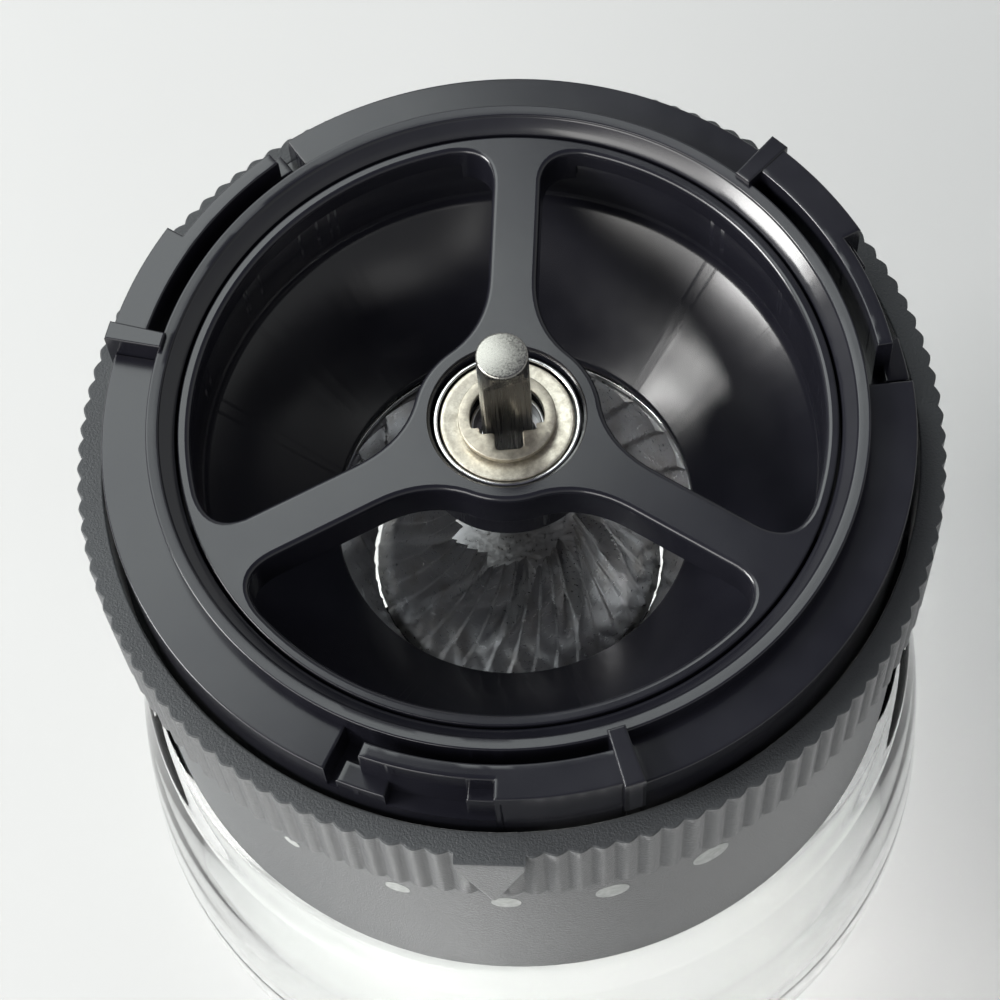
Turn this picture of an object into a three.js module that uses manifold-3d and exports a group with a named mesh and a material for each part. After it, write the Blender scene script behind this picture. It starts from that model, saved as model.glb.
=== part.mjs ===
// Hand crank coffee grinder: a glass jar with a conical-burr grinding head screwed onto it.
// Millimetres, +Z up. The origin is the middle of the jar's foot, on the grinding axis.
// The index pointer of the adjusting ring and the printed dots face -Y.
import * as THREE from 'three';
import { mergeVertices } from 'three/addons/utils/BufferGeometryUtils.js';
import Module from 'manifold-3d';

const wasm = await Module();
wasm.setup();

// ---------------------------------------------------------------- driving dimensions
const FIT = 0.3;                 // gap between pieces that touch
const RING_R = 47.5;             // adjusting ring, over the flute crests
const RING_TOP = 109;            // height of the adjusting ring's top face
const RING_H = 13;
const RING_BORE_R = 44.6;
const FLUTES = 120;
const FLUTE_DEPTH = 0.75;
const POINTER_ANGLE = 263.2;     // degrees, anticlockwise from +X seen from above
const POINTER_R = 48.2;

const BODY_R = 46;               // dial housing
const BODY_BOTTOM = 62.6;
const BODY_BORE_R = 42.4;
const DECK_Z = [77, 80];
const DECK_BORE_R = 33;

const COLLAR_R = 43.8;           // hopper rim, where the lid seats
const COLLAR_TOP = 114.6;
const LIP_R = [37.3, 38.7];      // raised narrow lip round the hopper's mouth
const LIP_TOP = 116.8;
const LUG_TOP = 117.4;
const SKIRT_BOTTOM = 99.2;
const SLOT_FLOOR = 110.2;        // floor of the slots for the lid's bayonets
const HOPPER_MOUTH_R = 34.4;     // inside of the hopper's bowl at the top
const THROAT_R = 20.4;
const THROAT_Z = 91;
const SECTOR_STARTS = [0.5, 120.5, 240.5];   // where each of the three lid bayonets begins

const CARRIER_TOP = 115.2;       // three-spoke bearing carrier
const SPOKE_ANGLES = [83.5, 203.5, 323.5];
const PILLAR_ANGLES = SPOKE_ANGLES.map((angle) => angle - 60);
const CARRIER_LEDGE = 112.2;     // ledge in the hopper that carries the carrier's rim
const CARRIER_UNDER = 109.8;     // underside of the spokes
const SPOKE_W = 5.4;
const BOSS_R = 10.2;
const WINDOW_R = 34.1;

const SHAFT_R = 2.75;
const SHAFT_Z = [64.8, 128.6];
const SHAFT_FLAT_ANGLE = 280;
const SHAFT_BORE_R = 3.05;       // every hole that the shaft passes through
const BEARING_R = 8;             // 16 mm ball bearing, 5 mm wide
const BEARING_Z = [109.3, 114.3];

const WEB_Z = [96.3, 98.8];      // adjusting ring's inner web
const NUT_R = [27.6, 30.6];      // adjusting nut's threaded sleeve
const NUT_Z = [81.5, 96];
const HOLDER_R = 27.2;           // ring burr holder
const HOLDER_Z = [77.5, 89.8];
const RING_BURR_Z = [79.5, 88.3];
const RING_BURR_R = 23.3;
const RING_BURR_BORE_R = [18.1, 21];   // at its lower and upper face, between the teeth
const CONE_BURR_Z = [78.6, 92];
const CONE_BURR_R = [17, 8.5];
const PIN_R = 1.5;
const PIN_CIRCLE_R = 29;
const PILLAR_CIRCLE_R = 38.9;
const BRIDGE_SCREW_CIRCLE_R = 34.5;
const NUT_SCREW_CIRCLE_R = 33.2;
const DETENT_CIRCLE_R = 44.2;
const DETENT_ANGLE = 90;
const DIAL_TRAVEL = 32;          // degrees that the ring turns each way

const FINE = 40;                 // facets round a large circle
const COARSE = 16;               // facets round a small one

// ---------------------------------------------------------------- helpers
const rad = (degrees) => degrees * Math.PI / 180;

/** Keeps positions only, merges shared vertices, drops empty triangles and turns the faces out. */
function closed(geometry) {
  geometry.deleteAttribute('normal');
  geometry.deleteAttribute('uv');
  const merged = mergeVertices(geometry, 1e-4);
  const index = merged.index.array;
  const p = merged.attributes.position;
  const kept = [];
  const [a, b, c] = [new THREE.Vector3(), new THREE.Vector3(), new THREE.Vector3()];
  let volume = 0;
  for (let i = 0; i < index.length; i += 3) {
    const [u, v, w] = index.slice(i, i + 3);
    if (u === v || v === w || w === u) continue;
    kept.push(u, v, w);
    b.fromBufferAttribute(p, v).cross(c.fromBufferAttribute(p, w));
    volume += a.fromBufferAttribute(p, u).dot(b);
  }
  if (volume < 0) kept.reverse();
  merged.setIndex(kept);
  return merged;
}

/** Ring or disc turned from a closed outline of [radius, height] points. */
function turned(outline, facets = FINE) {
  const points = outline.map(([r, z]) => new THREE.Vector2(r, z));
  const onAxis = outline[0][0] === 0 && outline.at(-1)[0] === 0;
  if (!onAxis) points.push(points[0].clone());
  const geometry = new THREE.LatheGeometry(points, facets);
  geometry.rotateX(Math.PI / 2);
  return closed(geometry);
}

/** Plain ring with a rectangular section. */
const ring = (r0, r1, z0, z1, facets = FINE) => turned([[r0, z0], [r1, z0], [r1, z1], [r0, z1]], facets);

/** Upright prism of a shape. An arc in it gets twice curveSegments facets. */
function prism(shape, z0, z1, curveSegments = FINE / 2) {
  const geometry = new THREE.ExtrudeGeometry(shape, { depth: z1 - z0, bevelEnabled: false, curveSegments });
  geometry.translate(0, 0, z0);
  return closed(geometry);
}

/** Upright round post standing at a radius and an angle. */
function post(r, z0, z1, circleR = 0, angle = 0, facets = COARSE) {
  const geometry = turned([[0, z0], [r, z0], [r, z1], [0, z1]], facets);
  geometry.translate(circleR * Math.cos(rad(angle)), circleR * Math.sin(rad(angle)), 0);
  return geometry;
}

/** Piece of a ring between two angles in degrees. */
function sector(r0, r1, a0, a1, z0, z1) {
  const shape = new THREE.Shape();
  shape.absarc(0, 0, r1, rad(a0), rad(a1), false);
  shape.absarc(0, 0, r0, rad(a1), rad(a0), true);
  return prism(shape, z0, z1, Math.max(1, Math.ceil((a1 - a0) / 14)));
}

/** Block with its length along a radius. */
function spoke(r0, r1, width, z0, z1, angle) {
  const geometry = new THREE.BoxGeometry(r1 - r0, width, z1 - z0);
  geometry.translate((r0 + r1) / 2, 0, (z0 + z1) / 2);
  geometry.rotateZ(rad(angle));
  return closed(geometry);
}

function solid(geometry) {
  return new wasm.Manifold(new wasm.Mesh({
    numProp: 3,
    vertProperties: new Float32Array(geometry.attributes.position.array),
    triVerts: new Uint32Array(geometry.index.array),
  }));
}

/** Joins the first list of geometries and cuts the second list away. */
function carve(added, removed = []) {
  let result = solid(added[0]);
  for (const geometry of added.slice(1)) result = result.add(solid(geometry));
  for (const geometry of removed) result = result.subtract(solid(geometry));
  const { vertProperties, triVerts } = result.getMesh();
  const geometry = new THREE.BufferGeometry();
  geometry.setAttribute('position', new THREE.BufferAttribute(vertProperties, 3));
  geometry.setIndex(new THREE.BufferAttribute(triVerts, 1));
  return geometry;
}

// ---------------------------------------------------------------- materials
const finish = (color, roughness, metalness, extra = {}) =>
  new THREE.MeshStandardMaterial({ color, roughness, metalness, ...extra });
const FINISH = {
  glass: () => finish(0xf2f5f4, 0.05, 0, { transparent: true, opacity: 0.3 }),
  grainedPlastic: () => finish(0x3a3e40, 0.65, 0),
  glossPlastic: () => finish(0x1c1f21, 0.25, 0),
  innerPlastic: () => finish(0x2a2c2e, 0.5, 0),
  rubber: () => finish(0xd9d6cf, 0.7, 0),
  brushedSteel: () => finish(0xb9b5ab, 0.35, 1),
  burrSteel: () => finish(0x8d8f92, 0.4, 1),
  zincSteel: () => finish(0xc4c4c2, 0.3, 1),
  bronze: () => finish(0x9a7644, 0.45, 1),
};

const grinder = new THREE.Group();
grinder.name = 'coffee_grinder';

function add(name, geometry, material) {
  const mesh = new THREE.Mesh(geometry, material());
  mesh.name = name;
  grinder.add(mesh);
}

// ---------------------------------------------------------------- jar
function glassJar() {
  const shoulderZ = BODY_BOTTOM - FIT;
  const outside = [
    [0, 0], [39, 0], [44, 1.4], [47.8, 4.6], [50.3, 9.6], [51.8, 17], [52.4, 26],
    [50.9, 44], [48.2, 60.2], [46.6, shoulderZ], [40.6, shoulderZ],
  ];
  const thread = [[40.6, 69], [41.4, 69.7], [41.4, 70.5], [40.6, 71.2]];
  const rim = [[40.6, 74.4], [40, 75], [37.4, 75], [36.8, 74.4]];
  const inside = [
    [36.8, 62], [43.6, 60.2], [46.2, 56], [47.9, 44], [49.4, 26], [48.8, 17.6],
    [47, 11], [43.4, 7], [38, 5.4], [0, 5],
  ];
  return turned([...outside, ...thread, ...rim, ...inside], 36);
}

// ---------------------------------------------------------------- head: fixed pieces
function bodyShell() {
  const wallTop = RING_TOP - RING_H - FIT;
  const shell = turned([
    [BODY_BORE_R, BODY_BOTTOM], [BODY_R - 0.6, BODY_BOTTOM], [BODY_R, BODY_BOTTOM + 0.6], [BODY_R, wallTop],
    [BODY_BORE_R, wallTop], [BODY_BORE_R, DECK_Z[1]], [DECK_BORE_R, DECK_Z[1]], [DECK_BORE_R, DECK_Z[0]],
    [BODY_BORE_R, DECK_Z[0]], [BODY_BORE_R, 74.2], [41.8, 73.6], [41.8, 72.8], [BODY_BORE_R, 72.2],
  ]);
  const cuts = [post(1.3, 87, 97, DETENT_CIRCLE_R, DETENT_ANGLE)];
  for (const angle of PILLAR_ANGLES) {
    cuts.push(post(1.7, 76, 81, PILLAR_CIRCLE_R, angle), post(3, 76, 79, PILLAR_CIRCLE_R, angle));
  }
  for (const angle of SPOKE_ANGLES) cuts.push(post(1.1, 76, 79.3, BRIDGE_SCREW_CIRCLE_R, angle));
  return carve([shell], cuts);
}

/** One of the three bayonets that hold the lid: its parts as [r0, r1, start, end, bottom, top]. */
function bayonet(start) {
  const base = SLOT_FLOOR - 0.5;
  const span = 43.5;
  const parts = [
    [40.4, 42, 4.4, 43.2, base, LUG_TOP],                  // guide wall beside the slot
    [41.5, 44.1, 23.5, 41, base, LUG_TOP],                 // locking lug
    [41.5, 43.3, 19.7, 23.8, base, COLLAR_TOP],            // low step before the lug
    [41.5, COLLAR_R, 1.5, 8.5, base, COLLAR_TOP - 2],      // hook block
    [38.2, 44.6, 40.5, 43.4, SLOT_FLOOR, LUG_TOP + 0.5],   // end rib
  ];
  const place = ([r0, r1, a0, a1, z0, z1]) => sector(r0, r1, start + a0, start + a1, z0, z1);
  const gap = sector(LIP_R[1], COLLAR_R + 2, start, start + span, SLOT_FLOOR, COLLAR_TOP + 1);
  return { gap, pieces: parts.map(place) };
}

function hopper() {
  const [skirtR, skirtTop] = [41.3, 107.6];
  const wall = turned([
    [LIP_R[0], LIP_TOP], [LIP_R[1], LIP_TOP], [LIP_R[1], COLLAR_TOP], [COLLAR_R, COLLAR_TOP],
    [COLLAR_R, SKIRT_BOTTOM], [skirtR, SKIRT_BOTTOM], [skirtR, skirtTop], [36.4, skirtTop], [36.4, 104.4],
    [22, THROAT_Z], [THROAT_R, THROAT_Z], [THROAT_R, THROAT_Z + 1.2], [HOPPER_MOUTH_R, 104.9],
    [HOPPER_MOUTH_R, CARRIER_LEDGE], [35.8, CARRIER_LEDGE], [35.8, CARRIER_TOP],
  ]);
  const bayonets = SECTOR_STARTS.map(bayonet);
  const body = carve([wall], bayonets.map((part) => part.gap));
  const foot = DECK_Z[1] + FIT;
  const pillars = PILLAR_ANGLES.map((angle) => post(3.2, foot, skirtTop + 1, PILLAR_CIRCLE_R, angle));
  const holes = PILLAR_ANGLES.map((angle) => post(1.6, foot - 1, foot + 12, PILLAR_CIRCLE_R, angle));
  return carve([body, ...bayonets.flatMap((part) => part.pieces), ...pillars], holes);
}

/** Rounded window between two neighbouring spokes, as a path for a shape's holes. */
function windowPath(from) {
  const to = from + 120;
  const [hubFillet, rimFillet] = [7, 5];
  const at = (r, angle) => new THREE.Vector2(r * Math.cos(angle), r * Math.sin(angle));
  const halfTurn = (r) => Math.asin(SPOKE_W / 2 / r);
  const startSide = (r) => at(r, rad(from) + halfTurn(r));
  const endSide = (r) => at(r, rad(to) - halfTurn(r));
  const rimStart = rad(from) + halfTurn(WINDOW_R) + rimFillet / WINDOW_R;
  const rimEnd = rad(to) - halfTurn(WINDOW_R) - rimFillet / WINDOW_R;
  const first = startSide(BOSS_R + hubFillet);
  const path = new THREE.Path();
  const line = (point) => path.lineTo(point.x, point.y);
  const curve = (corner, point) => path.quadraticCurveTo(corner.x, corner.y, point.x, point.y);
  path.moveTo(first.x, first.y);
  line(startSide(WINDOW_R - rimFillet));
  curve(startSide(WINDOW_R), at(WINDOW_R, rimStart));
  path.absarc(0, 0, WINDOW_R, rimStart, rimEnd, false);
  curve(endSide(WINDOW_R), endSide(WINDOW_R - rimFillet));
  line(endSide(BOSS_R + hubFillet));
  curve(endSide(BOSS_R + 1), at(BOSS_R, rad(to - 42)));
  line(at(BOSS_R, rad(from + 60)));
  line(at(BOSS_R, rad(from + 42)));
  curve(startSide(BOSS_R + 1), first);
  return path;
}

function spokeCarrier() {
  const [rimR, bossBottom] = [35.5, 106.4];
  const disc = new THREE.Shape();
  disc.absarc(0, 0, rimR, 0, 2 * Math.PI, false);
  disc.holes = SPOKE_ANGLES.map(windowPath);
  const plate = prism(disc, CARRIER_UNDER, CARRIER_TOP, 8);
  const boss = post(BOSS_R, bossBottom, CARRIER_TOP, 0, 0, FINE);
  const underRim = ring(HOPPER_MOUTH_R - FIT, rimR + 1, CARRIER_UNDER - 1, CARRIER_LEDGE + FIT, 56);
  const bearingSeat = post(BEARING_R + FIT, BEARING_Z[0] - FIT, CARRIER_TOP + 1, 0, 0, FINE);
  const shaftHole = post(4.6, bossBottom - 1, BEARING_Z[0] + 1, 0, 0, 32);
  return carve([plate, boss], [underRim, bearingSeat, shaftHole]);
}

/** Sealed 16 mm bearing: races and the cover plate between them. */
const bearingOuterRace = () => turned([
  [7.5, BEARING_Z[0]], [BEARING_R, BEARING_Z[0]], [BEARING_R, BEARING_Z[1]],
  [7.6, BEARING_Z[1]], [7.5, BEARING_Z[1] - 0.2],
], 40);
const bearingInnerRace = () => turned([
  [SHAFT_BORE_R, BEARING_Z[0]], [4.1, BEARING_Z[0]], [4.1, 112.8],
  [3.65, 112.8], [3.65, 110.6], [SHAFT_BORE_R, 110.6],
], 32);
const bearingCover = () => ring(4.4, 7.2, 113.4, 114.1, FINE);

function bearingBridge() {
  const hub = post(8.6, 68.5, 75, 0, 0, 36);
  const arms = SPOKE_ANGLES.map((angle) => spoke(6, 36.3, 8, 70, 73.5, angle));
  const feet = SPOKE_ANGLES.map((angle) => spoke(32.2, 36.3, 8, 73, DECK_Z[0] - FIT, angle));
  const cuts = [post(5.3, 68, 76, 0, 0, 32)];
  for (const angle of SPOKE_ANGLES) {
    cuts.push(post(1.6, 69, 78, BRIDGE_SCREW_CIRCLE_R, angle));
    cuts.push(post(PIN_R + 0.2, 71.5, 75, PIN_CIRCLE_R, angle));
  }
  return carve([hub, ...arms, ...feet], cuts);
}

const lowerBush = () => turned([
  [SHAFT_BORE_R, 68.8], [5, 68.8], [5, 75.3], [6.8, 75.3], [6.8, 76.6], [SHAFT_BORE_R, 76.6],
], 32);

/** Round-headed screw pointing up, with its head's underside at z. */
function screw(headR, headH, shankR, z, length, circleR, angle) {
  const geometry = turned([
    [0, z - headH], [headR * 0.7, z - headH], [headR, z - headH * 0.55], [headR, z], [shankR, z],
    [shankR, z + length], [0, z + length],
  ], 12);
  geometry.translate(circleR * Math.cos(rad(angle)), circleR * Math.sin(rad(angle)), 0);
  return geometry;
}

/** Coil spring round the axis, flat-cut at both ends. */
function coil(r, wire, z0, z1, turns) {
  class Helix extends THREE.Curve {
    getPoint(t, target = new THREE.Vector3()) {
      const angle = 2 * Math.PI * turns * t;
      return target.set(r * Math.cos(angle), r * Math.sin(angle), z0 + wire + t * (z1 - z0 - 2 * wire));
    }
  }
  const section = new THREE.Shape();
  section.absarc(0, 0, wire, 0, 2 * Math.PI, false);
  const options = { steps: turns * 8, extrudePath: new Helix(), curveSegments: 3, bevelEnabled: false };
  return closed(new THREE.ExtrudeGeometry(section, options));
}

// ---------------------------------------------------------------- dial: adjusting ring and nut
function flutedOutline() {
  const outline = new THREE.Shape();
  for (let i = 0; i < FLUTES; i += 1) {
    const valley = rad(i * 360 / FLUTES);
    const crest = rad((i + 0.5) * 360 / FLUTES);
    const valleyR = RING_R - FLUTE_DEPTH;
    const point = [valleyR * Math.cos(valley), valleyR * Math.sin(valley)];
    if (i === 0) outline.moveTo(...point);
    else outline.lineTo(...point);
    outline.lineTo(RING_R * Math.cos(crest), RING_R * Math.sin(crest));
  }
  outline.closePath();
  return outline;
}

/** Raised index pointer: a short upright block that narrows to a point at the ring's lower edge. */
function pointer() {
  const [halfWidth, shoulder] = [3.7, RING_TOP - 1.6];
  const backR = 45.4;
  const bottom = RING_TOP - RING_H;
  const shape = new THREE.Shape();
  shape.moveTo(-halfWidth, RING_TOP);
  shape.lineTo(halfWidth, RING_TOP);
  shape.lineTo(halfWidth, shoulder);
  shape.lineTo(0, bottom);
  shape.lineTo(-halfWidth, shoulder);
  shape.closePath();
  const geometry = new THREE.ExtrudeGeometry(shape, { depth: POINTER_R - backR, bevelEnabled: false });
  geometry.rotateX(Math.PI / 2);
  geometry.translate(0, -backR, 0);
  geometry.rotateZ(rad(POINTER_ANGLE - 270));
  return closed(geometry);
}

function adjustingRing() {
  const outline = flutedOutline();
  const bore = new THREE.Path();
  bore.absarc(0, 0, RING_BORE_R, 0, 2 * Math.PI, true);
  outline.holes.push(bore);
  const grip = prism(outline, RING_TOP - RING_H, RING_TOP);
  const web = ring(31.2, RING_BORE_R + 0.6, ...WEB_Z);
  const slotHalf = DIAL_TRAVEL + 6;   // leaves room for a hopper pillar at both ends of the travel
  const span = [WEB_Z[0] - 1, WEB_Z[1] + 1];
  const slot = (angle) => sector(35.3, 42.7, angle - slotHalf, angle + slotHalf, ...span);
  const cuts = PILLAR_ANGLES.map(slot);
  for (const angle of SPOKE_ANGLES) {
    cuts.push(post(1.3, WEB_Z[0] - 1, WEB_Z[0] + 2, NUT_SCREW_CIRCLE_R, angle));
  }
  return carve([grip, web, pointer()], cuts);
}

function adjustingNut() {
  const [bottom, top] = NUT_Z;
  const [flangeR, flangeBottom] = [35.2, 93.4];
  const sleeve = turned([
    [NUT_R[0], bottom], [NUT_R[1], bottom], [NUT_R[1], flangeBottom],
    [flangeR, flangeBottom], [flangeR, top], [NUT_R[0], top],
  ], 56);
  return carve([sleeve], SPOKE_ANGLES.map((angle) => post(1.5, 93, 97, NUT_SCREW_CIRCLE_R, angle)));
}

// ---------------------------------------------------------------- ring burr and its holder
/** Toothed frustum: alternate corners stand out as cutting edges and the rows lean round the axis. */
function toothedCone(rBottom, rTop, z0, z1, teeth, depth, lean) {
  const rows = 4;
  const geometry = new THREE.CylinderGeometry(rTop, rBottom, z1 - z0, teeth * 2, rows);
  geometry.rotateX(Math.PI / 2);
  geometry.translate(0, 0, (z0 + z1) / 2);
  const merged = closed(geometry);
  const p = merged.attributes.position;
  for (let i = 0; i < p.count; i += 1) {
    const r = Math.hypot(p.getX(i), p.getY(i));
    if (r < 1) continue;
    const angle = Math.atan2(p.getY(i), p.getX(i));
    const valley = Math.round(angle / (Math.PI / teeth)) % 2 !== 0;
    const up = (p.getZ(i) - z0) / (z1 - z0);
    const size = valley ? r - depth : r;
    const twist = angle + lean * up;
    p.setXY(i, size * Math.cos(twist), size * Math.sin(twist));
  }
  return merged;
}

const coneBurr = () => carve(
  [toothedCone(CONE_BURR_R[0], CONE_BURR_R[1], ...CONE_BURR_Z, 18, 1.3, 0.5)],
  [post(SHAFT_BORE_R, 78, 93), post(6.2, 78, 82.6)],
);

const ringBurr = () => carve(
  [post(RING_BURR_R, ...RING_BURR_Z, 0, 0, 56)],
  [toothedCone(...RING_BURR_BORE_R, RING_BURR_Z[0] - 0.01, RING_BURR_Z[1] + 0.01, 24, 1, -0.25)],
);

function burrHolder() {
  const [bottom, top] = HOLDER_Z;
  const cup = turned([
    [20, bottom], [HOLDER_R, bottom], [HOLDER_R, top], [23.6, top], [23.6, 79.2], [20, 79.2],
  ], 56);
  const ears = SPOKE_ANGLES.map((angle) => spoke(26, 31.7, 7, bottom, 80, angle));
  const inside = post(23.6, 79.2, top + 1, 0, 0, 56);
  const holes = SPOKE_ANGLES.map((angle) => post(PIN_R + 0.2, 77, 81, PIN_CIRCLE_R, angle));
  return carve([cup, ...ears], [inside, ...holes]);
}

const burrClip = () => sector(20.9, 23.3, 110, 430, 88.6, 89.5);

// ---------------------------------------------------------------- drive: pieces that turn with the crank
function driveShaft() {
  const [bottom, top] = SHAFT_Z;
  const chamfer = 0.25;
  const bar = turned([
    [0, bottom], [SHAFT_R, bottom], [SHAFT_R, top - chamfer], [SHAFT_R - chamfer, top], [0, top],
  ], 32);
  const [flatOffset, flatFoot, rampFoot, rampTop] = [1.15, bottom + 1.6, top - 4.5, top - 0.3];
  const rise = (rampTop - rampFoot) / (SHAFT_R - flatOffset);
  const reach = 4.5;
  const side = new THREE.Shape([
    [flatOffset, flatFoot], [reach, flatFoot],
    [reach, rampTop + rise * (reach - SHAFT_R)], [flatOffset, rampFoot],
  ].map(([x, z]) => new THREE.Vector2(x, z)));
  const flat = new THREE.ExtrudeGeometry(side, { depth: 8, bevelEnabled: false });
  flat.translate(0, 0, -4);
  flat.rotateX(Math.PI / 2);
  flat.rotateZ(rad(SHAFT_FLAT_ANGLE));
  return carve([bar], [closed(flat)]);
}

/** Washer on top of the bearing. Its hole is round behind the shaft, narrower in front, and has a notch. */
function keyedWasher() {
  const [holeR, ledgeY, slotHalf, slotY, notchHalf, notchY] = [4, -1.1, 3.05, -1.9, 1.5, -4];
  const corner = Math.asin(-ledgeY / holeR);
  const hole = new THREE.Path();
  hole.absarc(0, 0, holeR, -corner, Math.PI + corner, false);
  hole.lineTo(-slotHalf, ledgeY);
  hole.lineTo(-slotHalf, slotY);
  hole.lineTo(-notchHalf, slotY);
  hole.lineTo(-notchHalf, notchY);
  hole.lineTo(notchHalf, notchY);
  hole.lineTo(notchHalf, slotY);
  hole.lineTo(slotHalf, slotY);
  hole.lineTo(slotHalf, ledgeY);
  hole.closePath();
  const disc = new THREE.Shape();
  disc.absarc(0, 0, 5.3, 0, 2 * Math.PI, false);
  disc.holes.push(hole);
  return prism(disc, 114.4, 115.1, 12);
}

const thrustWasher = () => ring(SHAFT_BORE_R, 6, 76.9, 77.6, 32);

function shaftNut() {
  const hexagon = post(4.6, 65.6, 68.3, 0, 0, 6);
  return carve([hexagon], [post(SHAFT_BORE_R, 65, 69)]);
}

// ---------------------------------------------------------------- assembly
add('glass_jar', glassJar(), FINISH.glass);

add('body_shell', bodyShell(), FINISH.grainedPlastic);
add('jar_gasket', ring(37.2, 41.2, 75.3, 76.7, 48), FINISH.rubber);
add('hopper', hopper(), FINISH.glossPlastic);
add('spoke_carrier', spokeCarrier(), FINISH.glossPlastic);
add('bearing_outer_race', bearingOuterRace(), FINISH.zincSteel);
add('bearing_cover_plate', bearingCover(), FINISH.brushedSteel);
add('bearing_bridge', bearingBridge(), FINISH.innerPlastic);
add('lower_bush', lowerBush(), FINISH.bronze);

const detentSpring = coil(0.85, 0.2, 87.2, 93.3, 5);
detentSpring.translate(0, DETENT_CIRCLE_R, 0).rotateZ(rad(DETENT_ANGLE - 90));
add('detent_spring', detentSpring, FINISH.zincSteel);
const detentBall = closed(new THREE.SphereGeometry(1.15, 12, 8));
detentBall.translate(0, DETENT_CIRCLE_R, 94.6).rotateZ(rad(DETENT_ANGLE - 90));
add('detent_ball', detentBall, FINISH.zincSteel);

PILLAR_ANGLES.forEach((angle, i) => {
  add(`hopper_screw_${i + 1}`, screw(2.7, 1.5, 1.4, 78.7, 12, PILLAR_CIRCLE_R, angle), FINISH.zincSteel);
});
SPOKE_ANGLES.forEach((angle, i) => {
  add(`bridge_screw_${i + 1}`, screw(2, 1.6, 0.9, 69.7, 9, BRIDGE_SCREW_CIRCLE_R, angle), FINISH.zincSteel);
  add(`guide_pin_${i + 1}`, post(PIN_R, 71.7, 81, PIN_CIRCLE_R, angle, 16), FINISH.zincSteel);
});

add('adjusting_ring', adjustingRing(), FINISH.grainedPlastic);
add('adjusting_nut', adjustingNut(), FINISH.innerPlastic);
SPOKE_ANGLES.forEach((angle, i) => {
  add(`nut_screw_${i + 1}`, screw(1.9, 1.4, 1, 93.1, 5, NUT_SCREW_CIRCLE_R, angle), FINISH.zincSteel);
});

add('burr_holder', burrHolder(), FINISH.innerPlastic);
add('ring_burr', ringBurr(), FINISH.burrSteel);
add('ring_burr_clip', burrClip(), FINISH.zincSteel);

add('drive_shaft', driveShaft(), FINISH.brushedSteel);
add('bearing_inner_race', bearingInnerRace(), FINISH.zincSteel);
add('keyed_washer', keyedWasher(), FINISH.brushedSteel);
add('cone_burr', coneBurr(), FINISH.burrSteel);
add('thrust_washer', thrustWasher(), FINISH.zincSteel);
add('burr_spring', coil(4.4, 0.5, 77.9, 82.3, 3), FINISH.zincSteel);
add('shaft_nut', shaftNut(), FINISH.zincSteel);

export default grinder;
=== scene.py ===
"""Looks for a hand crank coffee grinder that stands without its lid and crank.

Every piece is drawn in millimetres in the CAD frame: +Z up along the crank shaft, -Y towards the index
pointer.
"""
import math

import bmesh
import bpy
import numpy as np
from mathutils import Matrix, Vector
from mathutils.geometry import delaunay_2d_cdt


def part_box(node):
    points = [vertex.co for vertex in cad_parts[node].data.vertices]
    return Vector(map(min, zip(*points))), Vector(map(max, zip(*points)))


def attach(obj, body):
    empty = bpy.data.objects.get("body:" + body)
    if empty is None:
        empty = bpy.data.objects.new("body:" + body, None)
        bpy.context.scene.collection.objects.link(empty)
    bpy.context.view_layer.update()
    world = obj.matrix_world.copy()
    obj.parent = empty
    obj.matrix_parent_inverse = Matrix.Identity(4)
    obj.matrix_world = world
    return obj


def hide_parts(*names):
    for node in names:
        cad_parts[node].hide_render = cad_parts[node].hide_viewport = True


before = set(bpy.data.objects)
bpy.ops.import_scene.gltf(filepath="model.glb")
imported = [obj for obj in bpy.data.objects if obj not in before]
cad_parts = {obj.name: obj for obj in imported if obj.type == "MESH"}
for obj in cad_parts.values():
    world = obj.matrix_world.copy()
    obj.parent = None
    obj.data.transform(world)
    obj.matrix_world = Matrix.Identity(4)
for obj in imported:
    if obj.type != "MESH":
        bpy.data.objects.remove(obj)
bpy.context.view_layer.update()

scene = bpy.context.scene
MM = 0.001


def extent(node):
    """Lowest and highest corner of a CAD node, in millimetres."""
    low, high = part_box(node)
    return np.array(low) / MM, np.array(high) / MM


def heights(node):
    low, high = extent(node)
    return low[2], high[2]


# ------------------------------------------------------------------ driving sizes, millimetres and degrees
RING_Z = heights("adjusting_ring")
RING_R = 47.5
RING_BORE_R = 44.6
POINTER_R = 48.2
POINTER_ANGLE = 263.2
FLUTES = 120
FLUTE_DEPTH = 0.5
BODY_Z = heights("body_shell")
BODY_R = extent("body_shell")[1][0]
BODY_BORE_R = 42.4
DECK_Z = (77.0, 80.0)
COLLAR_R = 43.8
COLLAR_TOP = 114.6
LIP_R = (37.3, 38.7)
LIP_SLOPE = 0.09     # the lip's top falls a little towards the mouth
FLARE_R = 35.8
LIP_TOP = 116.8
SLOT_FLOOR = 110.2
LUG_TOP = 117.4
SKIRT_BOTTOM = 99.2
SECTOR_STARTS = (0.5, 120.5, 240.5)
SECTOR_SPAN = 43.5
CARRIER_TOP = heights("spoke_carrier")[1]
SPOKE_ANGLES = (83.5, 203.5, 323.5)
PILLAR_ANGLES = tuple(angle - 60 for angle in SPOKE_ANGLES)
SPOKE_W = 5.4
BOSS_R = 10.2
WINDOW_R = 34.1
CARRIER_R = 35.5
CARRIER_LEDGE = CARRIER_TOP - 3
MOUTH_R = 34.4
SHAFT_R = 2.75
SHAFT_Z = heights("drive_shaft")
SHAFT_FLAT_ANGLE = 280
SHAFT_BORE_R = 3.05
BEARING_R = 8.0
BEARING_Z = heights("bearing_outer_race")
JAR_R = extent("glass_jar")[1][0]
PIN_CIRCLE_R = 29.0
BRIDGE_SCREW_CIRCLE_R = 34.5
NUT_SCREW_CIRCLE_R = 33.2
PILLAR_CIRCLE_R = 38.9
DETENT_CIRCLE_R = 44.2
ROUND = 192          # facets round a large circle
SMALL_ROUND = 48     # facets round a small one


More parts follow.
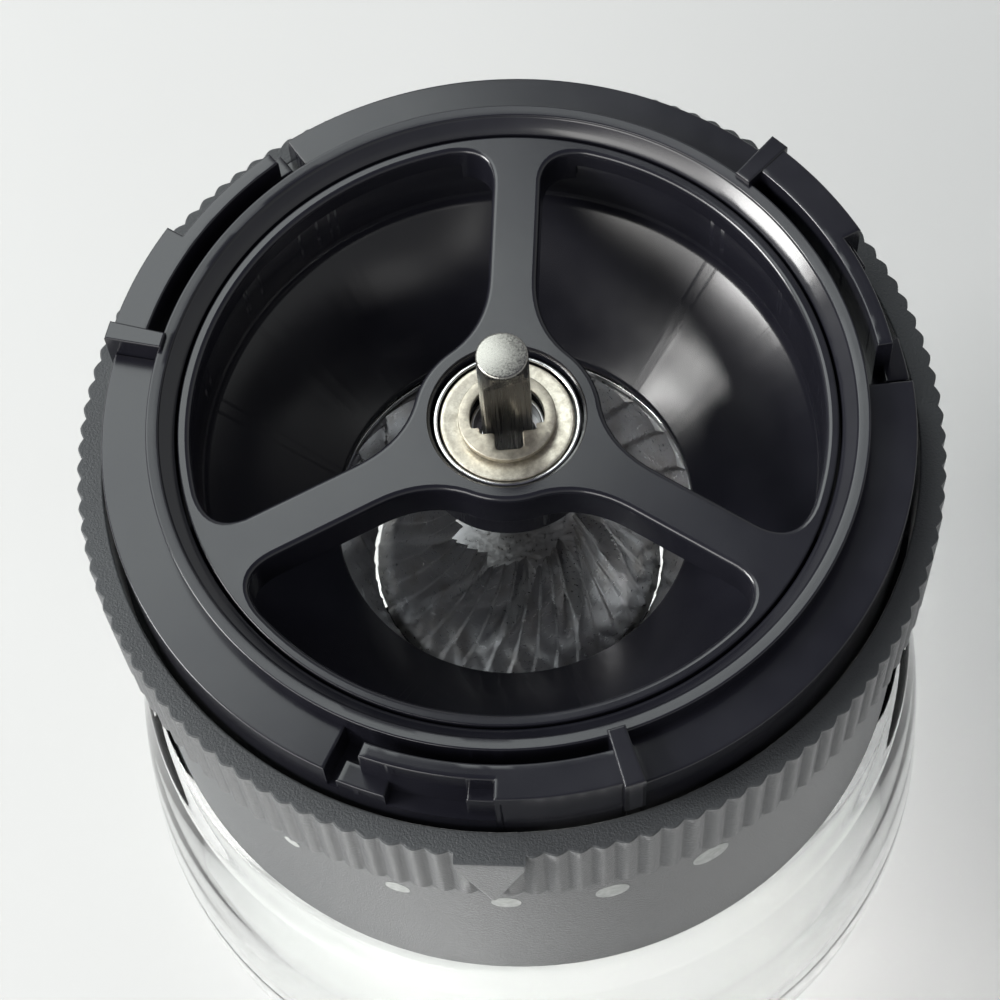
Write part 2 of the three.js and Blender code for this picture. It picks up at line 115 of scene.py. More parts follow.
# ------------------------------------------------------------------ mesh helpers
def polar(radius, angle, z=0.0):
    """Point at a radius and an angle in degrees."""
    turn = math.radians(angle)
    return np.array((radius * math.cos(turn), radius * math.sin(turn), z))


def shade(obj, sharp=32):
    """Smooth shading that stays even on flat faces and breaks at sharp edges."""
    obj.data.shade_smooth()
    obj.data.set_sharp_from_angle(angle=math.radians(sharp))
    if "even_normals" not in obj.modifiers:
        even = obj.modifiers.new("even_normals", "WEIGHTED_NORMAL")
        even.keep_sharp = True
    return obj


def mesh_object(name, vertices, faces, sharp=32):
    """Object from vertices in millimetres, with doubles merged and its faces turned out."""
    mesh = bpy.data.meshes.new(name)
    mesh.from_pydata((np.asarray(vertices) * MM).tolist(), [], [list(map(int, face)) for face in faces])
    obj = bpy.data.objects.new(name, mesh)
    scene.collection.objects.link(obj)
    build = bmesh.new()
    build.from_mesh(mesh)
    bmesh.ops.remove_doubles(build, verts=build.verts, dist=3e-7)
    bmesh.ops.dissolve_degenerate(build, edges=build.edges, dist=1e-7)
    bmesh.ops.recalc_face_normals(build, faces=build.faces)
    build.to_mesh(mesh)
    build.free()
    return shade(obj, sharp)


def loft(name, stations, closed=True, sharp=32):
    """Skin over a row of stations, each a closed loop of the same number of points."""
    stations = np.asarray(stations, float)
    count, size = stations.shape[:2]
    last = count if closed else count - 1
    faces = []
    for i in range(last):
        a, b = i * size, (i + 1) % count * size
        faces += [(a + j, b + j, b + (j + 1) % size, a + (j + 1) % size) for j in range(size)]
    if not closed:
        faces += [tuple(range(size - 1, -1, -1)), tuple(range((count - 1) * size, count * size))]
    return mesh_object(name, stations.reshape(-1, 3), faces, sharp)


def rounded(corners, steps=5):
    """Closed outline through (x, y) or (x, y, radius) corners, each radius drawn as an arc."""
    points = []
    for i, corner in enumerate(corners):
        here = np.array(corner[:2], float)
        radius = corner[2] if len(corner) > 2 else 0
        if radius <= 0:
            points.append(here)
            continue
        before = np.array(corners[i - 1][:2]) - here
        after = np.array(corners[(i + 1) % len(corners)][:2]) - here
        long_before, long_after = np.linalg.norm(before), np.linalg.norm(after)
        before, after = before / long_before, after / long_after
        half = math.acos(max(-1.0, min(1.0, float(before @ after)))) / 2
        reach = min(radius / math.tan(half), 0.49 * long_before, 0.49 * long_after)
        radius = reach * math.tan(half)
        centre = here + (before + after) / np.linalg.norm(before + after) * radius / math.sin(half)
        start, end = here + before * reach - centre, here + after * reach - centre
        first = math.atan2(start[1], start[0])
        sweep = (math.atan2(end[1], end[0]) - first + math.pi) % (2 * math.pi) - math.pi
        for k in range(steps + 1):
            turn = first + sweep * k / steps
            points.append(centre + radius * np.array((math.cos(turn), math.sin(turn))))
    return np.array(points)


def lathe(name, corners, facets=ROUND, steps=5, sharp=32):
    """Turned piece from a closed outline of (radius, height, rounding) corners."""
    outline = rounded(corners, steps)
    turns = np.arange(facets) * 2 * math.pi / facets
    stations = np.empty((facets, len(outline), 3))
    stations[:, :, 0] = np.outer(np.cos(turns), outline[:, 0])
    stations[:, :, 1] = np.outer(np.sin(turns), outline[:, 0])
    stations[:, :, 2] = outline[:, 1]
    return loft(name, stations, sharp=sharp)


def post(name, radius, z0, z1, circle=0.0, angle=0.0, edge=0.0, facets=SMALL_ROUND):
    """Upright round bar, with rounded rims, at a place on a circle."""
    obj = lathe(name, [(0, z0), (radius, z0, edge), (radius, z1, edge), (0, z1)], facets, 3)
    obj.data.transform(Matrix.Translation(Vector(polar(circle, angle)) * MM))
    return obj


def sector(name, r0, r1, a0, a1, z0, z1):
    """Piece of a ring between two angles."""
    outline = [(r0, z0), (r1, z0), (r1, z1), (r0, z1)]
    angles = np.linspace(a0, a1, max(2, int(a1 - a0)))
    return loft(name, [[polar(r, angle, z) for r, z in outline] for angle in angles], closed=False)


def inset(outline, distance):
    """Outline moved sideways, to its left for a positive distance."""
    before = outline - np.roll(outline, 1, 0)
    after = np.roll(outline, -1, 0) - outline
    tangent = sum(side / np.linalg.norm(side, axis=1)[:, None] for side in (before, after))
    tangent /= np.linalg.norm(tangent, axis=1)[:, None]
    return outline + distance * np.stack([-tangent[:, 1], tangent[:, 0]], 1)


def fill(outlines):
    """Triangles that fill the first outline and leave the others empty, as indices into all their points."""
    points = np.concatenate(outlines)
    edges = []
    for outline in outlines:
        ring = list(range(len(edges), len(edges) + len(outline)))
        edges += zip(ring, ring[1:] + ring[:1])
    found = delaunay_2d_cdt([Vector(point) for point in points], edges, [], 0, 1e-6)
    first, second = points[[edge[0] for edge in edges]], points[[edge[1] for edge in edges]]
    triangles = []
    nearest = [int(np.argmin(np.linalg.norm(points - np.array(spot), axis=1))) for spot in found[0]]
    for face in found[2]:
        corners = [nearest[k] for k in face]
        x, y = points[corners].mean(0)
        crossing = (first[:, 1] > y) != (second[:, 1] > y)
        a, b = first[crossing], second[crossing]
        meets = a[:, 0] + (y - a[:, 1]) * (b[:, 0] - a[:, 0]) / (b[:, 1] - a[:, 1])
        if np.count_nonzero(meets > x) % 2:
            triangles.append(corners)
    return triangles


def plate(name, loops, sharp=32):
    """Flat piece with holes. loops holds (outline, rows): the outline runs with the material on its left,
    and each row is (inset, height), from the top face down to the bottom face."""
    vertices, faces, tops, bottoms = [], [], [], []
    for outline, rows in loops:
        start, size = len(vertices), len(outline)
        for distance, z in rows:
            vertices += [(x, y, z) for x, y in inset(outline, distance)]
        for k in range(len(rows) - 1):
            a, b = start + k * size, start + (k + 1) * size
            faces += [(a + j, a + (j + 1) % size, b + (j + 1) % size, b + j) for j in range(size)]
        tops.append(range(start, start + size))
        bottoms.append(range(start + (len(rows) - 1) * size, start + len(rows) * size))
    for level in (tops, bottoms):
        order = [k for loop in level for k in loop]
        outlines = [np.array([vertices[k][:2] for k in loop]) for loop in level]
        faces += [tuple(order[k] for k in triangle) for triangle in fill(outlines)]
    return mesh_object(name, vertices, faces, sharp)


def edge_rows(z0, z1, top=0.3, bottom=0.3, steps=4):
    """Rows of an upright wall whose upper and lower edge are rounded."""
    rows = []
    for k in range(steps + 1):
        turn = math.pi / 2 * k / steps
        rows.append((top * (1 - math.sin(turn)), z1 - top * (1 - math.cos(turn))))
    for k in range(steps + 1):
        turn = math.pi / 2 * k / steps
        rows.append((bottom * (1 - math.cos(turn)), z0 + bottom * (1 - math.sin(turn))))
    return rows


def circle_outline(radius, facets=ROUND, hole=False):
    turns = np.arange(facets) * 2 * math.pi / facets
    outline = np.stack([radius * np.cos(turns), radius * np.sin(turns)], 1)
    return outline[::-1] if hole else outline


def combine(obj, tools, operation):
    """Joins the tools to obj or cuts them away, and removes them."""
    for tool in tools:
        modifier = obj.modifiers.new("combine", "BOOLEAN")
        modifier.operation = operation
        modifier.solver = "EXACT"
        modifier.object = tool
        obj.modifiers.move(len(obj.modifiers) - 1, 0)
        even = obj.modifiers.get("even_normals")
        if even:
            obj.modifiers.remove(even)
        graph = bpy.context.evaluated_depsgraph_get()
        mesh = bpy.data.meshes.new_from_object(obj.evaluated_get(graph))
        obj.modifiers.clear()
        obj.data = mesh
        bpy.data.objects.remove(tool)
    build = bmesh.new()
    build.from_mesh(obj.data)
    bmesh.ops.remove_doubles(build, verts=build.verts, dist=1e-6)
    bmesh.ops.dissolve_degenerate(build, edges=build.edges, dist=5e-7)
    build.to_mesh(obj.data)
    build.free()
    return shade(obj)


def cut(obj, *tools):
    return combine(obj, tools, "DIFFERENCE")


def join(obj, *tools):
    return combine(obj, tools, "UNION")


def keep_level(obj):
    """Sharp border round the level faces, so that the thin ones beside a rounding stay evenly lit."""
    build = bmesh.new()
    build.from_mesh(obj.data)
    for edge in build.edges:
        levels = {np.ptp([vert.co.z for vert in face.verts]) < 1e-7 for face in edge.link_faces}
        edge.smooth = edge.smooth and len(levels) == 1
    build.to_mesh(obj.data)
    build.free()
    return obj


def turned_about(obj, angle):
    obj.data.transform(Matrix.Rotation(math.radians(angle), 4, "Z"))
    return obj


# ------------------------------------------------------------------ material helpers
class Surface:
    """A material's node tree, with short ways to add the usual nodes, in the object's metres."""

    def __init__(self, name, **sockets):
        self.material = bpy.data.materials.new(name)
        self.material.use_nodes = True
        self.tree = self.material.node_tree
        self.shader = self.tree.nodes["Principled BSDF"]
        self.place = self.add("ShaderNodeTexCoord").outputs["Object"]
        for socket, value in sockets.items():
            self.shader.inputs[socket.replace("_", " ")].default_value = value

    def add(self, kind, **values):
        node = self.tree.nodes.new(kind)
        for key, value in values.items():
            setattr(node, key, value)
        return node

    def link(self, out, into):
        self.tree.links.new(out, into)

    def stretch(self, scale):
        """Coordinates scaled by a different amount along each axis."""
        node = self.add("ShaderNodeMapping")
        node.inputs["Scale"].default_value = scale
        self.link(self.place, node.inputs["Vector"])
        return node.outputs["Vector"]

    def noise(self, scale, detail=3.0, rough=0.55, place=None):
        node = self.add("ShaderNodeTexNoise")
        node.inputs["Scale"].default_value = scale
        node.inputs["Detail"].default_value = detail
        node.inputs["Roughness"].default_value = rough
        self.link(place or self.place, node.inputs["Vector"])
        return node.outputs["Fac"]

    def remap(self, value, low, high, to_low, to_high):
        node = self.add("ShaderNodeMapRange")
        self.link(value, node.inputs["Value"])
        for key, number in zip(("From Min", "From Max", "To Min", "To Max"), (low, high, to_low, to_high)):
            node.inputs[key].default_value = number
        return node.outputs["Result"]

    def blend(self, factor, first, second):
        """Colour mixed between two colours or sockets."""
        node = self.add("ShaderNodeMix", data_type="RGBA")
        self.link(factor, node.inputs["Factor"])
        for value, socket in ((first, node.inputs[6]), (second, node.inputs[7])):
            if isinstance(value, tuple):
                socket.default_value = (*value, 1)
            else:
                self.link(value, socket)
        return node.outputs[2]

    def math(self, operation, *values):
        node = self.add("ShaderNodeMath", operation=operation)
        for value, socket in zip(values, node.inputs):
            if isinstance(value, (int, float)):
                socket.default_value = value
            else:
                self.link(value, socket)
        return node.outputs[0]

    def bump(self, height, distance, strength=1.0):
        """Adds a bump, in metres, on top of those that the shader has already."""
        node = self.add("ShaderNodeBump")
        node.inputs["Distance"].default_value = distance
        node.inputs["Strength"].default_value = strength
        self.link(height, node.inputs["Height"])
        earlier = self.shader.inputs["Normal"].links
        if earlier:
            self.link(earlier[0].from_socket, node.inputs["Normal"])
        self.link(node.outputs["Normal"], self.shader.inputs["Normal"])

    def radius(self):
        """Distance from the shaft's axis, in metres."""
        split = self.add("ShaderNodeSeparateXYZ")
        self.link(self.place, split.inputs[0])
        squares = [self.math("MULTIPLY", split.outputs[k], split.outputs[k]) for k in (0, 1)]
        return self.math("SQRT", self.math("ADD", *squares))

    def colour(self, socket):
        self.link(socket, self.shader.inputs["Base Color"])

    def roughness(self, socket):
        self.link(socket, self.shader.inputs["Roughness"])


def grained_plastic():
    """Charcoal plastic with a fine spark-eroded grain."""
    s = Surface("grained_plastic", IOR=1.5, Sheen_Weight=0.5, Sheen_Roughness=0.35)
    grain = s.noise(3800, 3, 0.65)
    broad = s.noise(60, 3)
    s.colour(s.blend(s.remap(broad, 0.3, 0.7, 0, 1), (0.026, 0.028, 0.031), (0.034, 0.037, 0.040)))
    s.roughness(s.remap(grain, 0.3, 0.7, 0.48, 0.62))
    s.bump(grain, 0.00011, 0.9)
    return s.material


def gloss_plastic():
    """Polished dark plastic, with a faint uneven haze."""
    s = Surface("gloss_plastic", IOR=1.5)
    haze = s.noise(90, 4)
    s.colour(s.blend(s.remap(haze, 0.3, 0.7, 0, 1), (0.006, 0.006, 0.009), (0.010, 0.010, 0.014)))
    s.roughness(s.remap(haze, 0.3, 0.7, 0.17, 0.23))
    s.bump(s.noise(260, 2), 0.00002, 0.25)
    return s.material


def inner_plastic():
    """Satin black plastic of the parts inside."""
    s = Surface("inner_plastic", IOR=1.5)
    grain = s.noise(1800, 3)
    s.colour(s.blend(s.remap(s.noise(70), 0.3, 0.7, 0, 1), (0.008, 0.008, 0.010), (0.014, 0.014, 0.017)))
    s.roughness(s.remap(grain, 0.3, 0.7, 0.36, 0.5))
    s.bump(grain, 0.00003, 0.4)
    return s.material


def silicone():
    """Milky seal rubber."""
    s = Surface("silicone", IOR=1.42, Subsurface_Weight=0.15, Subsurface_Scale=0.002)
    s.colour(s.blend(s.noise(120), (0.72, 0.71, 0.66), (0.80, 0.79, 0.75)))
    s.roughness(s.remap(s.noise(900), 0.3, 0.7, 0.42, 0.58))
    s.bump(s.noise(900), 0.00003, 0.4)
    return s.material


def dot_ink():
    """Pale printing ink, a little uneven."""
    s = Surface("dot_ink", IOR=1.5)
    s.colour(s.blend(s.remap(s.noise(1400, 3), 0.35, 0.7, 0, 1), (0.32, 0.33, 0.32), (0.44, 0.45, 0.44)))
    s.roughness(s.remap(s.noise(2400), 0.3, 0.7, 0.45, 0.65))
    s.bump(s.noise(3800, 4), 0.00003, 0.4)
    return s.material


def turned_steel(name, light, dark, low, high, groove=0.000006):
    """Steel faced on a lathe: fine rings about the axis, with a faint random haze."""
    s = Surface(name, Metallic=1.0)
    radius = s.radius()
    waves = s.math("SINE", s.math("MULTIPLY", radius, 52000.0))
    uneven = s.noise(700, 4)
    rings = s.math("MULTIPLY", waves, s.remap(uneven, 0.35, 0.65, 0.1, 1.0))
    s.colour(s.blend(s.remap(s.noise(1900, 4, 0.7), 0.35, 0.65, 0, 1), dark, light))
    s.roughness(s.remap(s.noise(1300, 3), 0.3, 0.7, low, high))
    s.bump(rings, groove, 0.7)
    s.bump(s.noise(2600, 3, 0.6), 0.00001, 0.5)
    return s.material


def shaft_steel():
    """Shaft steel, drawn and milled along its length, with a faced end."""
    s = Surface("shaft_steel", Metallic=1.0)
    strokes = s.noise(4200, 3, 0.6, s.stretch((1.0, 1.0, 0.02)))
    s.colour(s.blend(s.remap(strokes, 0.3, 0.7, 0, 1), (0.22, 0.215, 0.20), (0.38, 0.37, 0.34)))
    s.roughness(s.remap(strokes, 0.3, 0.7, 0.2, 0.36))
    s.bump(strokes, 0.00001, 0.4)
    s.bump(s.noise(700, 3), 0.00001, 0.3)
    return s.material


def burr_steel():
    """Hardened burr steel, ground, slightly dark, with a trace of coffee in the roots."""
    s = Surface("burr_steel", Metallic=1.0)
    marks = s.noise(1500, 4, 0.6, s.stretch((1.0, 1.0, 3.0)))
    stain = s.remap(s.noise(260, 4), 0.5, 0.75, 0, 0.5)
    s.colour(s.blend(stain, (0.46, 0.46, 0.47), (0.26, 0.21, 0.17)))
    s.roughness(s.remap(marks, 0.3, 0.7, 0.24, 0.42))
    s.bump(marks, 0.00002, 0.5)
    return s.material


def plated_steel():
    """Bright zinc plate on small hardware."""
    s = Surface("plated_steel", Metallic=1.0)
    cloud = s.noise(500, 4)
    s.colour(s.blend(s.remap(cloud, 0.3, 0.7, 0, 1), (0.62, 0.63, 0.64), (0.76, 0.76, 0.74)))
    s.roughness(s.remap(cloud, 0.3, 0.7, 0.16, 0.3))
    s.bump(s.noise(2200, 3), 0.00001, 0.4)
    return s.material


def bronze():
    """Porous sintered bronze."""
    s = Surface("bronze", Metallic=1.0)
    pores = s.noise(3000, 4, 0.7)
    s.colour(s.blend(s.remap(pores, 0.35, 0.65, 0, 1), (0.30, 0.19, 0.09), (0.56, 0.38, 0.19)))
    s.roughness(s.remap(pores, 0.3, 0.7, 0.35, 0.55))
    s.bump(pores, 0.00004, 0.5)
    return s.material


def jar_glass():
    """Clear moulded glass with the slow waviness of a pressed jar."""
    s = Surface("jar_glass", IOR=1.2, Transmission_Weight=1.0, Roughness=0.0)
    tint = s.remap(s.noise(40, 2), 0.3, 0.7, 0, 1)
    s.colour(s.blend(tint, (0.93, 0.94, 0.935), (0.95, 0.955, 0.95)))
    s.bump(s.noise(30, 1, 0.4, s.stretch((1.0, 1.0, 0.6))), 0.0008, 0.12)
    return s.material


def table_top():
    """Plain pale table."""
    s = Surface("table_top", IOR=1.45)
    s.colour(s.blend(s.noise(3, 2), (0.47, 0.47, 0.467), (0.49, 0.49, 0.487)))
    s.roughness(s.remap(s.noise(30, 3), 0.3, 0.7, 0.55, 0.7))
    return s.material


FINISH = {
    "grained": grained_plastic(),
    "gloss": gloss_plastic(),
    "inner": inner_plastic(),
    "silicone": silicone(),
    "ink": dot_ink(),
    "disc": turned_steel("disc_steel", (0.74, 0.70, 0.60), (0.50, 0.46, 0.38), 0.34, 0.46),
    # The washer's steel is the disc steel made a step darker, as painted shade.
    "washer": turned_steel("washer_steel_painted_shade", (0.50, 0.46, 0.38), (0.34, 0.31, 0.26), 0.34, 0.46),
    "race": turned_steel("race_steel", (0.74, 0.74, 0.73), (0.52, 0.52, 0.52), 0.10, 0.2),
    "shaft": shaft_steel(),
    "burr": burr_steel(),
    "plated": plated_steel(),
    "bronze": bronze(),
    "glass": jar_glass(),
}


def place(obj, body, slot, finish, *nodes):
    """Gives a piece its finish and its body, and hides the CAD nodes it stands for; the slot is not used."""
    obj.data.materials.clear()
    obj.data.materials.append(FINISH[finish])
    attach(obj, body)
    if nodes:
        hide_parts(*nodes)
    return obj


# ------------------------------------------------------------------ jar
def glass_jar():
    """Jar with a soft flare, a stepped shoulder under the head and a threaded neck."""
    shoulder = BODY_Z[0] - 0.3
    outside = [
        (0, 0), (39, 0, 3), (44, 1.4, 9), (47.8, 4.6, 14), (50.3, 9.6, 22), (51.8, 17, 40), (JAR_R, 26, 90),
        (50.9, 44, 160), (48.2, 60.2, 6), (46.6, shoulder, 1.2), (40.6, shoulder, 0.8),
    ]
    thread = [(40.6, 69, 0.6), (41.4, 69.7, 0.4), (41.4, 70.5, 0.4), (40.6, 71.2, 0.6)]
    rim = [(40.6, 75, 1.2), (36.8, 75, 1.2)]
    inside = [
        (36.8, 62, 2), (43.6, 60.2, 3), (46.2, 56, 8), (47.9, 44, 90), (49.4, 26, 60), (48.8, 17.6, 30),
        (47, 11, 12), (43.4, 7, 8), (38, 5.4, 8), (0, 5),
    ]
    jar = lathe("jar_glass", outside + thread + rim + inside, ROUND, 8, sharp=50)
    jar.visible_shadow = False
    return place(jar, "jar", "glass", "glass", "glass_jar")


# ------------------------------------------------------------------ head: housing
def housing():
    """Dial housing: a plain wall, the deck that carries the hopper and the bridge, and the jar's lip."""
    low, top = BODY_Z
    shell = lathe("dial_housing", [
        (BODY_BORE_R, low, 0.3), (BODY_R, low, 0.7), (BODY_R, top, 0.3), (BODY_BORE_R, top, 0.2),
        (BODY_BORE_R, DECK_Z[1], 0.4), (33, DECK_Z[1], 0.3), (33, DECK_Z[0], 0.3),
        (BODY_BORE_R, DECK_Z[0], 0.5),
        (BODY_BORE_R, 74.2), (41.8, 73.6, 0.2), (41.8, 72.8, 0.2), (BODY_BORE_R, 72.2),
    ])
    holes = [post("hole", 1.3, 87, 97, DETENT_CIRCLE_R, 90, facets=24)]
    for angle in PILLAR_ANGLES:
        holes.append(post("hole", 1.7, 76, 81, PILLAR_CIRCLE_R, angle, facets=24))
        holes.append(post("hole", 3, 76, 79, PILLAR_CIRCLE_R, angle, facets=32))
    for angle in SPOKE_ANGLES:
        holes.append(post("hole", 1.1, 76, 79.3, BRIDGE_SCREW_CIRCLE_R, angle, facets=24))
    return place(cut(shell, *holes), "head", "grained_plastic", "grained", "body_shell")


def index_dots():
    """Five dots printed on the housing, growing anticlockwise, each a thin film that follows the wall."""
    height, film = 89.0, (0.004, 0.03)
    for number, (angle, diameter) in enumerate(
            ((233.2, 2.0), (249.3, 2.8), (264.3, 3.3), (278.8, 3.8), (293.2, 4.4)), 1):
        radius = diameter / 2
        steps = np.linspace(0, radius, 6)
        outline = [(r, film[1]) for r in steps] + [(r, film[0]) for r in steps[::-1]]
        dot = lathe(f"printed_dot_{number}", outline, 40)
        for vertex in dot.data.vertices:
            x, y, lift = vertex.co / MM
            turn = angle + math.degrees(x / BODY_R)
            vertex.co = polar(BODY_R + lift, turn, height + y) * MM
        place(dot, "head", "silicone", "ink")


# ------------------------------------------------------------------ head: hopper
EDGE = 0.22          # rounding of the bayonets' edges


def bayonet_blocks():
    """Every raised block on the hopper's rim, as (r0, r1, first angle, last angle, top)."""
    blocks = []
    for start in SECTOR_STARTS:
        parts = [
            (40.3, 42.0, 4.4, 43.2, LUG_TOP),
            (41.2, 44.1, 23.5, 41.0, LUG_TOP),
            (41.2, 43.3, 19.7, 24.4, COLLAR_TOP),
            (41.2, COLLAR_R, 1.5, 8.5, COLLAR_TOP - 2),
            (38.2, 44.6, 40.5, 43.4, LUG_TOP + 0.2),
        ]
        blocks += [(r0, r1, start + a0, start + a1, top) for r0, r1, a0, a1, top in parts]
        blocks.append((LIP_R[0], COLLAR_R, start + SECTOR_SPAN, start + 120, COLLAR_TOP))
    return blocks


def edge_lines(positions, span, near=0.004):
    """Grid lines on both sides of each position, closer where an edge is rounded."""
    offsets = (0, 0.02, 0.07, 0.13, EDGE)
    lines = {round(p + side * (near + offset), 4)
             for p in positions for side in (-1, 1) for offset in offsets}
    return sorted(line for line in lines if span[0] <= line <= span[1])


def rim_height(r, angle, blocks):
    """Height of the rim at a place: the highest rounded block there, or the slots' floor."""
    def crown(top, distances):
        near = min(distances)
        if near >= EDGE:
            return top
        return top - EDGE + math.sqrt(EDGE ** 2 - (EDGE - near) ** 2)

    height = SLOT_FLOOR
    if LIP_R[0] <= r <= LIP_R[1]:
        height = crown(LIP_TOP, (r - LIP_R[0], LIP_R[1] - r)) - LIP_SLOPE * (LIP_R[1] - r)
    for r0, r1, a0, a1, top in blocks:
        turn = (angle - a0) % 360
        if r0 <= r <= r1 and turn <= a1 - a0:
            along = r * math.pi / 180
            height = max(height, crown(top, (r - r0, r1 - r, turn * along, (a1 - a0 - turn) * along)))
    return height


def hopper():
    """Bean hopper: bowl, flared mouth with a narrow lip, and a collar that carries the three lid bayonets."""
    blocks = bayonet_blocks()
    radii = sorted({r for block in blocks for r in block[:2]} | {LIP_R[1]})
    lines = [r for r in edge_lines(radii, (LIP_R[0], 44.6 + 0.01)) if r > LIP_R[0] + 0.001]
    corners = sorted({a % 360 for block in blocks for a in block[2:4]})
    degree = math.degrees(1 / 42.0)
    angles = {round(a + side * offset * degree, 5) % 360 for a in corners for side in (-1, 1)
              for offset in (0.004, 0.024, 0.074, 0.134, EDGE)}
    angles = sorted(angles | {float(a) for a in np.arange(0, 360, 1.5)})
    bowl = rounded([
        (COLLAR_R, SLOT_FLOOR - 0.05), (COLLAR_R, SKIRT_BOTTOM, 0.3), (41.3, SKIRT_BOTTOM, 0.3),
        (41.3, 107.6, 0.5), (36.4, 107.6, 0.5), (36.4, 104.4, 0.6), (22, 91, 0.4), (20.4, 91, 0.3),
        (20.4, 92.2, 0.8), (MOUTH_R, 104.9, 2.5), (MOUTH_R, CARRIER_LEDGE), (FLARE_R, CARRIER_LEDGE),
        (FLARE_R, CARRIER_TOP - 0.1, 0.2), (LIP_R[0], LIP_TOP - 0.15),
    ], 6)
    depth = LIP_TOP - 0.3 - CARRIER_TOP
    flare = [(FLARE_R + (LIP_R[0] - FLARE_R) * t, CARRIER_TOP + depth * t ** 0.9)
             for t in (0.15, 0.4, 0.65, 0.9)]
    stations = []
    for angle in angles:
        reach = COLLAR_R
        for r0, r1, a0, a1, top in blocks:
            if (angle - a0) % 360 <= a1 - a0:
                reach = max(reach, r1)
        rows, last = [], None
        for r in lines:
            if r <= reach:
                last = (r, rim_height(r, angle, blocks))
            rows.append(last)
        rows.append((last[0], min(last[1], SLOT_FLOOR)))
        profile = flare + rows + [tuple(point) for point in bowl[:-1]]
        stations.append([polar(r, angle, z) for r, z in profile])
    body = loft("hopper_body", stations, sharp=34)
    pillars = [post("pillar", 3.2, DECK_Z[1] + 0.3, 108.2, PILLAR_CIRCLE_R, angle) for angle in PILLAR_ANGLES]
    bores = [post("bore", 1.6, DECK_Z[1], 92, PILLAR_CIRCLE_R, angle, facets=24) for angle in PILLAR_ANGLES]
    return place(cut(join(body, *pillars), *bores), "head", "gloss_plastic", "gloss", "hopper")


# ------------------------------------------------------------------ head: spoke carrier and bearing
def bend(first, corner, last, steps=10):
    """Points of a quadratic curve, without its last one."""
    t = np.linspace(0, 1, steps + 1)[:-1, None]
    return (1 - t) ** 2 * first + 2 * t * (1 - t) * corner + t ** 2 * last


def window_outline(start):
    """Rounded window between the spoke at an angle and the next one."""
    end = start + 120
    hub_fillet, rim_fillet = 7, 5

    def side(r, angle, sign):
        return polar(r, angle + sign * math.degrees(math.asin(SPOKE_W / 2 / r)))[:2]

    turn = math.degrees(math.asin(SPOKE_W / 2 / WINDOW_R) + rim_fillet / WINDOW_R)
    rim = [polar(WINDOW_R, a)[:2] for a in np.linspace(start + turn, end - turn, 60)]
    hub = [polar(BOSS_R, a)[:2] for a in np.linspace(end - 42, start + 42, 12)]
    points = [
        *bend(side(WINDOW_R - rim_fillet, start, 1), side(WINDOW_R, start, 1), rim[0]), *rim[:-1],
        *bend(rim[-1], side(WINDOW_R, end, -1), side(WINDOW_R - rim_fillet, end, -1)),
        *bend(side(BOSS_R + hub_fillet, end, -1), side(BOSS_R + 1, end, -1), hub[0]), *hub[:-1],
        *bend(hub[-1], side(BOSS_R + 1, start, 1), side(BOSS_R + hub_fillet, start, 1)),
        side(BOSS_R + hub_fillet, start, 1),
    ]
    return np.array(points)[::-1]


def spoke_carrier():
    """Three-spoke carrier with softened spoke edges, a rim that sits in the hopper and a bearing seat."""
    under, ledge = CARRIER_TOP - 5.4, CARRIER_LEDGE + 0.3
    spoke_end = WINDOW_R - 0.15
    window_rows = edge_rows(under, CARRIER_TOP, 0.6, 0.3, 5)
    loops = [(circle_outline(CARRIER_R), edge_rows(under, CARRIER_TOP, 0.25, 0.1))]
    loops += [(window_outline(angle), window_rows) for angle in SPOKE_ANGLES]
    disc = plate("spoke_carrier_body", loops)
    boss_top = CARRIER_TOP - 0.8
    boss = lathe("boss", [(0, 106.4), (BOSS_R - 0.1, 106.4, 0.6), (BOSS_R - 0.1, boss_top), (0, boss_top)])
    seat = lathe("seat", [
        (0, BEARING_Z[0] - 0.3), (BEARING_R + 0.3, BEARING_Z[0] - 0.3), (BEARING_R + 0.3, CARRIER_TOP - 0.35),
        (BEARING_R + 0.7, CARRIER_TOP + 0.05), (BEARING_R + 0.7, CARRIER_TOP + 2), (0, CARRIER_TOP + 2),
    ], 96)
    shaft_hole = post("hole", 4.6, 105, 110)
    under_rim = lathe("step", [(spoke_end, under - 1), (CARRIER_R + 1, under - 1), (CARRIER_R + 1, ledge),
                               (spoke_end, ledge)])
    body = keep_level(cut(join(disc, boss), seat, shaft_hole, under_rim))
    return place(body, "head", "gloss_plastic", "gloss", "spoke_carrier")


def bearing():
    """Ball bearing: rounded races and a shallow dished cover between them."""
    low, top = BEARING_Z
    outer = lathe("bearing_race_outer", [
        (7.5, low, 0.1), (8, low, 0.2), (8, top, 0.2), (7.5, top, 0.15)], 128)
    place(outer, "head", "plated_steel", "race", "bearing_outer_race")
    cover = lathe("bearing_cover", [
        (4.4, 113.4, 0.1), (7.2, 113.4, 0.1), (7.3, 114.1, 0.22), (6.8, 114.1, 0.2), (5.4, 113.98, 0.4),
        (4.4, 114.0, 0.15),
    ], 128)
    place(cover, "head", "shaft_steel", "disc", "bearing_cover_plate")
    # The inner race takes the darker burr steel as painted shade, so that it reads near-black deep beside the
    # shaft.
    inner = lathe("bearing_race_inner", [
        (SHAFT_BORE_R, low, 0.2), (4.1, low, 0.2), (4.1, 112.8, 0.15), (3.65, 112.8, 0.15), (3.65, 110.6),
        (SHAFT_BORE_R, 110.6, 0.1)], 96)
    place(inner, "drive", "plated_steel", "burr", "bearing_inner_race")


